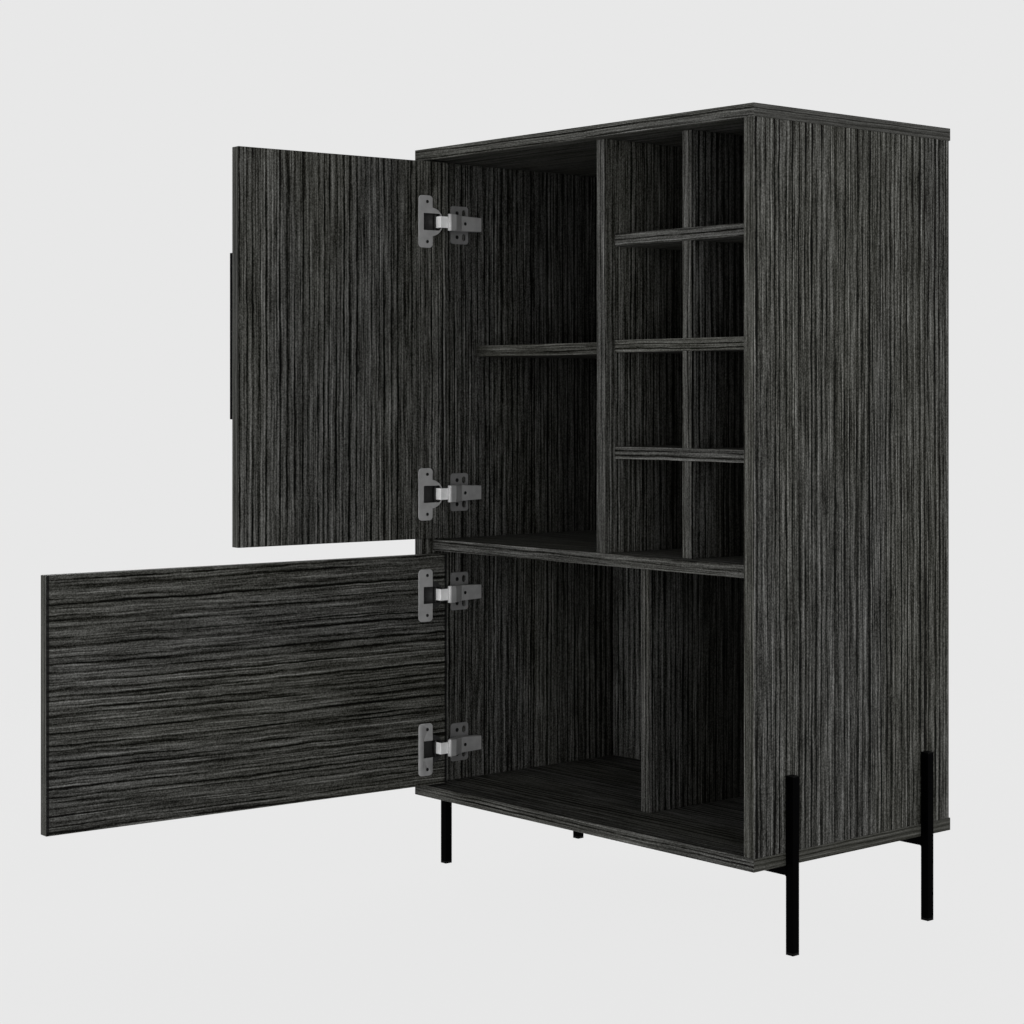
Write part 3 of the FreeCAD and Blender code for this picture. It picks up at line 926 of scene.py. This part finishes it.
class GeometryNodes(Nodes):
    """A Geometry Nodes tree that is built in the script and run once on a mesh."""

    def __init__(self, name: str, **sizes: Number) -> None:
        """Start a tree with a geometry input and output.

        Args:
            name: the tree's name.
            sizes: its other inputs, with their usual values.
        """
        super().__init__(bpy.data.node_groups.new(name, "GeometryNodeTree"))
        sockets = self.tree.interface
        for way in ("INPUT", "OUTPUT"):
            sockets.new_socket("Geometry", in_out=way, socket_type="NodeSocketGeometry")
        for key, value in sizes.items():
            kind = "NodeSocketInt" if isinstance(value, int) else "NodeSocketFloat"
            sockets.new_socket(key, in_out="INPUT", socket_type=kind).default_value = value
        self.start = self.tree.nodes.new("NodeGroupInput")
        self.end = self.tree.nodes.new("NodeGroupOutput")

    def given(self, name: str) -> Sock:
        """An input of the tree."""
        return Sock(self, self.start.outputs[name])

    def finish(self, geometry: Sock, material: bpy.types.Material) -> None:
        """End the tree with real geometry in one material.

        Args:
            geometry: the last geometry.
            material: its finish.
        """
        real = self.node("GeometryNodeRealizeInstances", None, {0: geometry})
        dressed = self.node("GeometryNodeSetMaterial", None, {"Geometry": real, "Material": material})
        self.feed(self.end.inputs[0], dressed)

    def run(self, name: str, seed_mesh: bpy.types.Mesh, sizes: dict[str, Number]) -> bpy.types.Mesh:
        """Run the tree on a mesh.

        Args:
            name: the result's name.
            seed_mesh: points or edges that the tree works on.
            sizes: values of its named inputs.

        Returns:
            A plain mesh.
        """
        carrier = put_in_scene(f"{name}_seed", seed_mesh)
        modifier = carrier.modifiers.new("nodes", "NODES")
        modifier.node_group = self.tree
        for item in self.tree.interface.items_tree:
            if item.item_type == "SOCKET" and item.in_out == "INPUT" and item.name in sizes:
                modifier[item.identifier] = sizes[item.name]
        depsgraph = bpy.context.evaluated_depsgraph_get()
        mesh = bpy.data.meshes.new_from_object(carrier.evaluated_get(depsgraph), depsgraph=depsgraph)
        mesh.name = name
        carrier.modifiers.remove(modifier)
        bpy.data.objects.remove(carrier)
        return mesh


def points_mesh(name: str, places: Iterable[tuple[Vector, Vector]]) -> bpy.types.Mesh:
    """Loose points that carry the way each one faces.

    Args:
        name: the mesh's name.
        places: pairs of a point and a direction.

    Returns:
        A mesh of vertices with a facing attribute.
    """
    pairs = list(places)
    mesh = bpy.data.meshes.new(name)
    mesh.from_pydata([tuple(point) for point, _ in pairs], [], [])
    facing = mesh.attributes.new("facing", "FLOAT_VECTOR", "POINT")
    for item, (_, direction) in zip(facing.data, pairs):
        item.vector = direction
    return mesh


def domed_heads(name: str, material: bpy.types.Material) -> GeometryNodes:
    """A tree that sets a round, stepped head on each point, facing its own way.

    Args:
        name: the tree's name.
        material: the heads' finish.

    Returns:
        A tree with the inputs Radius, Height and Sides.
    """
    tree = GeometryNodes(name, Radius=0.004, Height=0.001, Sides=32)
    radius, height, sides = (tree.given(key) for key in ("Radius", "Height", "Sides"))
    rings = ((1.0, 0.0), (1.0, 0.55), (0.93, 0.85), (0.72, 0.97), (0.4, 1.0))

    def lifted(shape: Sock, share: float) -> Sock:
        """A shape raised by a share of the height."""
        lift = tree.vector(0.0, 0.0, height * share)
        return tree.node("GeometryNodeTransform", None, {"Geometry": shape, "Translation": lift})

    shells = []
    for (wide, low), (narrow, high) in zip(rings, rings[1:]):
        sizes = {
            "Vertices": sides,
            "Radius Top": radius * narrow,
            "Radius Bottom": radius * wide,
            "Depth": height * (high - low),
        }
        shells.append(lifted(tree.node("GeometryNodeMeshCone", {"fill_type": "NONE"}, sizes), low))
    for share, level in (rings[0], rings[-1]):
        sizes = {"Vertices": sides, "Radius": radius * share}
        shells.append(lifted(tree.node("GeometryNodeMeshCircle", {"fill_type": "NGON"}, sizes), level))
    joined = tree.node("GeometryNodeJoinGeometry", None, {0: shells})
    merging = {"Geometry": joined, "Distance": HEAD_MERGE_DISTANCE}
    head = tree.node("GeometryNodeMergeByDistance", None, merging)
    way = tree.node("GeometryNodeInputNamedAttribute", {"data_type": "FLOAT_VECTOR"}, {"Name": "facing"})
    turn = tree.node("FunctionNodeAlignRotationToVector", {"axis": "Z"}, {"Vector": way})
    dots = tree.node("GeometryNodeMeshToPoints", None, {"Mesh": tree.given("Geometry")})
    copies = {"Points": dots, "Instance": head, "Rotation": turn}
    tree.finish(tree.node("GeometryNodeInstanceOnPoints", None, copies), material)
    return tree


def weld_beads(name: str, material: bpy.types.Material) -> GeometryNodes:
    """A tree that lays a rippled weld bead along each line of edges.

    Args:
        name: the tree's name.
        material: the bead's finish.

    Returns:
        A tree with the inputs Radius, Corner and Step.
    """
    ring_sides = 10
    corner_points = 4
    ripple_turn = 1.9
    ripple_depth = 0.13
    tree = GeometryNodes(name, Radius=0.001, Corner=0.001, Step=0.0005)
    line = tree.node("GeometryNodeMeshToCurve", None, {"Mesh": tree.given("Geometry")})
    corner = {"Curve": line, "Count": corner_points, "Radius": tree.given("Corner")}
    round_line = tree.node("GeometryNodeFilletCurve", {"mode": "POLY"}, corner)
    spacing = {"Curve": round_line, "Length": tree.given("Step")}
    fine = tree.node("GeometryNodeResampleCurve", {"mode": "LENGTH"}, spacing)
    turn = tree.node("GeometryNodeInputIndex") * ripple_turn
    wave = tree.node("ShaderNodeMath", {"operation": "SINE"}, {0: turn})
    width = wave * ripple_depth + 1.0
    rippled = tree.node("GeometryNodeSetCurveRadius", None, {"Curve": fine, "Radius": width})
    circle = {"Resolution": ring_sides, "Radius": tree.given("Radius")}
    ring = tree.node("GeometryNodeCurvePrimitiveCircle", None, circle)
    sweep = {"Curve": rippled, "Profile Curve": ring, "Fill Caps": True}
    tree.finish(tree.node("GeometryNodeCurveToMesh", None, sweep), material)
    return tree


# Sub-assemblies


@dataclass
class Carcass:
    """The boards that don't move, with the small parts that hold them."""

    palette: Palette
    cap_radius: float = 0.0088
    cap_height: float = 0.0004
    cap_sides: int = 40
    nail_radius: float = 0.0023
    nail_height: float = 0.0009
    nail_sides: int = 24
    flush: float = 0.0003
    upright: tuple[str, ...] = (
        "left_side_panel",
        "right_side_panel",
        "upper_divider",
        "lower_divider",
        "bottle_divider_1",
        "back_panel",
    )
    level: tuple[str, ...] = (
        "top_panel",
        "bottom_panel",
        "middle_shelf",
        "upper_shelf",
        "bottle_shelf_1",
        "bottle_shelf_2",
        "bottle_shelf_3",
    )
    # shelves that stand back in shade; their front edges get no painted light
    set_back: tuple[str, ...] = ("upper_shelf",)
    outer: tuple[str, ...] = ("left_side_panel", "right_side_panel")
    outer_contrast: float = 1.12
    boards: dict[str, Board] = field(default_factory=dict)

    def build(self) -> None:
        """Dress the boards and their fasteners."""
        for seed, node in enumerate(self.upright + self.level):
            board = Board(node, Body.CABINET, Axis.Z if node in self.upright else Axis.X, seed)
            # a set-back shelf stands in shade, so its front edge gets no painted light
            if node in self.set_back:
                board.front_painted_light = 0.0
            if node in self.outer:
                board.face_contrast = self.outer_contrast
            board.build(self.palette[Finish.LAMINATE])
            self.boards[node] = board
        self._cover_caps()
        self._nail_heads()
        paint("dowels", self.palette[Finish.BEECH])
        paint("cam_bolts", self.palette[Finish.ZINC])

    def _cover_caps(self) -> None:
        """A thin cap over every cam, whose grain goes on from the board round it."""
        faces = [self._cam_face(*box) for box in islands("cam_locks")]
        seed = points_mesh("cam_places", [(middle, direction) for _, middle, direction in faces])
        tree = domed_heads("cover_cap_heads", self.palette[Finish.LAMINATE])
        sizes = {"Radius": self.cap_radius, "Height": self.cap_height, "Sides": self.cap_sides}
        mesh = tree.run("cam_cover_caps", seed, sizes)
        maps = [mesh.uv_layers.new(name=name) for name in BOARD_MAPS]
        for loop in mesh.loops:
            place = mesh.vertices[loop.vertex_index].co
            board, _, direction = min(faces, key=lambda face: (face[1] - place).length)
            facing = main_axis(direction)
            for layer, value in zip(maps, board.grain_at(place, facing, direction[facing.value] > 0)):
                layer.uv[loop.index].vector = value
        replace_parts(add_piece("cam_cover_caps", mesh, Body.CABINET), "cam_locks")

    def _cam_face(self, low: Vector, high: Vector) -> tuple[Board, Vector, Vector]:
        """Where a cam's open face is, and which way it looks.

        Args:
            low: lowest corner of the cam's box.
            high: its highest corner.

        Returns:
            The board that holds it, the middle of the face and its outward direction.
        """
        size = high - low
        axis = min(Axis, key=lambda each: size[each.value]).value
        middle = (low + high) / 2
        for board in self.boards.values():
            inside = (
                board.low[each.value] - self.flush <= low[each.value]
                and high[each.value] <= board.high[each.value] + self.flush
                for each in Axis
            )
            if all(inside):
                direction = Vector((0, 0, 0))
                up = abs(high[axis] - board.high[axis]) < self.flush
                direction[axis] = 1 if up else -1
                middle[axis] = board.high[axis] if up else board.low[axis]
                return board, middle, direction
        raise ValueError(f"no board holds the cam at {middle}")

    def _nail_heads(self) -> None:
        """Domed heads on the back panel's nails."""
        tree = domed_heads("nail_heads", self.palette[Finish.ZINC])
        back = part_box("back_panel")[1].y
        places = []
        for low, high in islands("back_panel_nails"):
            middle = (low + high) / 2
            places.append((Vector((middle.x, back, middle.z)), Vector((0, 1, 0))))
        seed = points_mesh("nail_places", places)
        sizes = {"Radius": self.nail_radius, "Height": self.nail_height, "Sides": self.nail_sides}
        mesh = tree.run("nail_heads", seed, sizes)
        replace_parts(add_piece("nail_heads", mesh, Body.CABINET), "back_panel_nails")


@dataclass
class Door:
    """One door: its panel, handle and the hinge parts that turn with it."""

    palette: Palette
    body: Body
    grain: Axis
    seed: int
    seams: bool = False
    sway: float = 0.4
    bar_ease: float = 0.0008
    post_ease: float = 0.0004
    # below the flange depth a cup's faces take the dark finish, partly painted shade; beyond the bright
    # strip from its right edge they form a dark rim
    flange: float = 0.0013
    bright_strip: float = math.inf

    def build(self) -> None:
        """Dress the door."""
        name = self.body.value
        panel = Board(f"{name}_panel", self.body, self.grain, self.seed, self.seams, self.sway)
        panel.build(self.palette[Finish.LAMINATE])
        for part, ease in (("handle_bar", self.bar_ease), ("handle_posts", self.post_ease)):
            EasedPart(f"{name}_{part}", self.body, "black_steel", ease).build(self.palette[Finish.BLACK])
        for place in HINGE_PLACES:
            cup = EasedPart(
                f"{name}_{place}_hinge_cup",
                self.body,
                "hinge_steel",
                shade_depth=self.flange,
                plain_width=self.bright_strip,
            )
            cup.build(self.palette[Finish.SATIN], self.palette[Finish.CUP_INSIDE])
        paint(f"{name}_handle_studs", self.palette[Finish.BLACK])
        paint(f"{name}_cup_screws", self.palette[Finish.SCREW])
        paint(f"{name}_hinge_pins", self.palette[Finish.SCREW])


@dataclass
class HingeArms:
    """The fixed halves of the four concealed hinges."""

    palette: Palette
    # neck faces this near the pin get painted shade, where the neck dips into the cup
    neck_shade_radius: float = 0.0045
    doors: tuple[Body, ...] = (Body.UPPER_DOOR, Body.LOWER_DOOR)

    def build(self) -> None:
        """Dress each hinge's plate, arm and neck, and the screws."""
        for door in self.doors:
            pin = Vector(joint_of(door)["pos_m"])
            for place in HINGE_PLACES:
                label = f"{door.value}_{place}_hinge"
                # the plates take the darker nickel, painted shade
                EasedPart(f"{label}_plate", Body.CABINET, "hinge_steel").build(self.palette[Finish.DULL])
                EasedPart(f"{label}_arm", Body.CABINET, "hinge_steel").build(self.palette[Finish.SATIN])
                # the neck's near-white finish paints in its highlight
                neck = EasedPart(
                    f"{label}_neck", Body.CABINET, "bright_steel", pin_shade_radius=self.neck_shade_radius, pin=pin
                )
                neck.build(self.palette[Finish.BRIGHT], self.palette[Finish.CUP_INSIDE])
        paint("hinge_plate_screws", self.palette[Finish.SCREW])
        paint("hinge_arm_screws", self.palette[Finish.SCREW])


@dataclass
class Base:
    """Legs and crossbars of black square tube."""

    palette: Palette
    bead: float = 0.0011
    bead_corner: float = 0.001
    bead_step: float = 0.0006
    legs: tuple[str, ...] = ("front_left_leg", "front_right_leg", "back_left_leg", "back_right_leg")
    bars: tuple[str, ...] = ("front_crossbar", "back_crossbar")

    def build(self) -> None:
        """Dress the tubes, their ends and screws, and weld them."""
        for node in self.legs + self.bars + ("leg_screws", "base_screws"):
            paint(node, self.palette[Finish.BLACK])
        for node in ("foot_glides", "leg_end_caps"):
            paint(node, self.palette[Finish.PLASTIC])
        self._welds()

    def _welds(self) -> None:
        """A bead round the three open sides of each joint of leg and crossbar."""
        points: list[Vector] = []
        edges: list[tuple[int, int]] = []
        for bar in self.bars:
            low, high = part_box(bar)
            for x in (low.x, high.x):
                top = high.z - self.bead
                corners = [(low.y, top), (low.y, low.z), (high.y, low.z), (high.y, top)]
                first = len(points)
                points.extend(Vector((x, y, z)) for y, z in corners)
                edges.extend((first + step, first + step + 1) for step in range(len(corners) - 1))
        seed = bpy.data.meshes.new("weld_lines")
        seed.from_pydata([tuple(point) for point in points], edges, [])
        sizes = {"Radius": self.bead, "Corner": self.bead_corner, "Step": self.bead_step}
        mesh = weld_beads("weld_bead_lines", self.palette[Finish.BLACK]).run("weld_beads", seed, sizes)
        add_piece("weld_beads", mesh, Body.CABINET)


# Studio


@dataclass
class Lamp:
    """A soft square lamp that looks at the cabinet."""

    name: str
    place: Point
    side: float
    watts: float
    aim: Point = (0.0, -0.1, 0.5)

    def build(self) -> None:
        """Add the lamp."""
        data = bpy.data.lights.new(self.name, "AREA")
        data.shape = "SQUARE"
        data.size = self.side
        data.energy = self.watts
        lamp = put_in_scene(self.name, data)
        lamp.location = self.place
        lamp.rotation_euler = (Vector(self.aim) - Vector(self.place)).to_track_quat("-Z", "Y").to_euler()


@dataclass
class Studio:
    """Pale floor and background, soft lamps and the camera."""

    background: Colour = (0.807, 0.807, 0.807)
    floor_glow: Colour = (0.877, 0.877, 0.877)
    floor_colour: Colour = (0.35, 0.35, 0.35)
    ambient: float = 0.6
    steep_loss: float = 1.0
    floor_radius: float = 2.4
    floor_sides: int = 64
    floor_shadow: float = 0.1
    fade_range: Pair = (0.35, 0.95)
    camera_place: Point = (1.86838, -1.89260, 0.62456)
    camera_yaw: float = 49.3124
    sensor: float = 36.0
    lens: float = 73.7833
    view_end: float = 50.0
    shift: Pair = (0.012338, -0.114030)
    lamps: tuple[Lamp, ...] = (
        Lamp("front_lamp", (0.05, -3.3, 0.5), 1.3, 35.5),
        Lamp("right_front_lamp", (2.9, -1.6, 0.7), 1.6, 25.5),
        Lamp("side_lamp", (3.2, 0.5, 0.6), 1.6, 22.5),
        Lamp("back_lamp", (-1.6, 2.8, 2.0), 1.6, 29.0),
        Lamp("left_lamp", (-3.0, 0.3, 1.6), 1.6, 29.0),
    )

    def build(self) -> None:
        """Set up the view, world, floor, lamps and camera."""
        bpy.context.scene.view_settings.view_transform = "Standard"
        self._world()
        self._floor()
        for lamp in self.lamps:
            lamp.build()
        self._camera()

    def _world(self) -> None:
        """A pale world with a low light.

        The camera and reflections see its full colour. Its light is weakest from above and below.
        """
        world = bpy.data.worlds.new("studio_world")
        world.use_nodes = True
        bpy.context.scene.world = world
        s = ShaderNodes(world.node_tree)
        _, _, height = s.split(s.node("ShaderNodeTexCoord", result="Generated"))
        glow = (1.0 - height * height * self.steep_loss) * self.ambient
        strength = s.seen() * (1.0 - glow) + glow
        sky = s.node("ShaderNodeBackground", values={"Color": self.background, "Strength": strength})
        s.node("ShaderNodeOutputWorld", values={"Surface": sky}, result=None)

    def _floor(self) -> None:
        """A round pale floor that fades into the background and keeps a soft shadow."""
        shape = bmesh.new()
        bmesh.ops.create_circle(shape, cap_ends=True, segments=self.floor_sides, radius=self.floor_radius)
        mesh = finished_mesh("studio_floor", shape, [self._floor_material()])
        put_in_scene("studio_floor", mesh)

    def _floor_material(self) -> bpy.types.Material:
        """Build the floor's material.

        Returns:
            A pale surface whose own colour is seen by the camera, with part of the real shadow.
        """
        s = Shader("studio_floor")
        glow = s.node("ShaderNodeEmission", None, {"Color": self.floor_glow, "Strength": 1.0})
        matt = s.node("ShaderNodeBsdfDiffuse", None, {"Color": self.floor_colour})
        own_share = s.seen() * (1.0 - self.floor_shadow)
        lit = s.node("ShaderNodeMixShader", None, {0: own_share, 1: matt, 2: glow})
        x, y, _ = s.split(s.point())
        far = s.node("ShaderNodeMath", {"operation": "SQRT"}, {0: x * x + y * y})
        clear = s.node("ShaderNodeBsdfTransparent")
        fade = s.ramp(far, *(self.floor_radius * share for share in self.fade_range))
        whole = s.node("ShaderNodeMixShader", None, {0: fade, 1: lit, 2: clear})
        return s.end(whole)

    def _camera(self) -> None:
        """A level camera at the photograph's viewpoint."""
        data = bpy.data.cameras.new("camera")
        data.sensor_width = self.sensor
        data.lens = self.lens
        data.shift_x, data.shift_y = self.shift
        data.clip_end = self.view_end
        camera = put_in_scene("camera", data)
        camera.location = self.camera_place
        camera.rotation_euler = (math.radians(90.0), 0.0, math.radians(self.camera_yaw))
        bpy.context.scene.camera = camera


def main() -> None:
    """Build the cabinet's looks and the studio round it."""
    logging.basicConfig(level=logging.INFO, format="%(name)s %(message)s")
    palette = {finish: finish.value.build() for finish in Finish}
    Carcass(palette).build()
    Door(palette, Body.UPPER_DOOR, Axis.Z, seed=21).build()
    Door(palette, Body.LOWER_DOOR, Axis.X, seed=22, seams=True, sway=0.6, bright_strip=0.022).build()
    HingeArms(palette).build()
    Base(palette).build()
    Studio().build()


if __name__ == "__main__":
    main()
